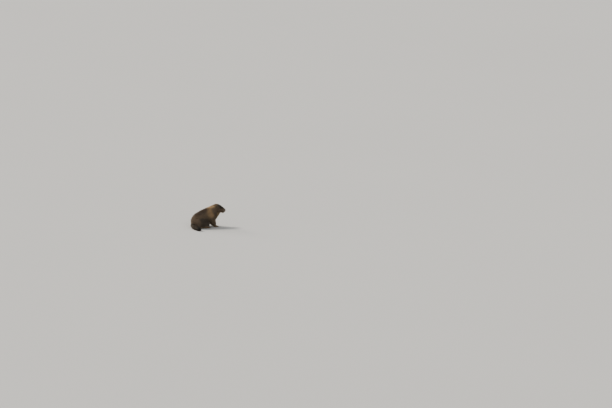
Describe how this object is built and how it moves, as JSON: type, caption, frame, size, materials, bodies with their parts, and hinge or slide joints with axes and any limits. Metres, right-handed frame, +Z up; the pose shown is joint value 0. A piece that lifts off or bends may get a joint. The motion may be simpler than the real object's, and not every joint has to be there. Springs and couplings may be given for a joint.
{
  "type": "marmot",
  "caption": "Life-size alpine marmot on all fours, seated on its haunches, head raised and looking ahead, bushy tail laid beside the rump",
  "frame": {"origin": "middle of the footprint's box, on the floor that feet, seat and tail rest on", "axes": "+X from rump to nose, +Z up, +Y to the animal's left"},
  "size_m": [0.3548, 0.2832, 0.2157],
  "materials": {
    "torso_coat": "dense soft fur, matte",
    "neck_coat": "dense soft fur, matte",
    "head_coat": "short dense fur, matte",
    "ear_coat": "very short fur, matte",
    "leg_coat": "short dense fur, matte",
    "foot_coat": "short fur, matte",
    "tail_coat": "long bushy fur, matte",
    "eye": "glossy",
    "nose_skin": "moist skin, satin",
    "claw": "horn, satin"
  },
  "bodies": {
    "root": {"claw_fore_left_1": "claw", "claw_fore_left_2": "claw", "claw_fore_left_3": "claw", "claw_fore_left_4": "claw", "claw_fore_right_1": "claw", "claw_fore_right_2": "claw", "claw_fore_right_3": "claw", "claw_fore_right_4": "claw", "claw_hind_left_1": "claw", "claw_hind_left_2": "claw", "claw_hind_left_3": "claw", "claw_hind_left_4": "claw", "claw_hind_left_5": "claw", "claw_hind_right_1": "claw", "claw_hind_right_2": "claw", "claw_hind_right_3": "claw", "claw_hind_right_4": "claw", "claw_hind_right_5": "claw", "ear_left": "ear_coat", "ear_right": "ear_coat", "eye_left": "eye", "eye_right": "eye", "foot_fore_left": "foot_coat", "foot_fore_right": "foot_coat", "foot_hind_left": "foot_coat", "foot_hind_right": "foot_coat", "head": "head_coat", "leg_fore_left": "leg_coat", "leg_fore_right": "leg_coat", "leg_hind_left": "leg_coat", "leg_hind_right": "leg_coat", "neck": "neck_coat", "nose": "nose_skin", "tail": "tail_coat", "torso": "torso_coat"}
  },
  "joints": []
}
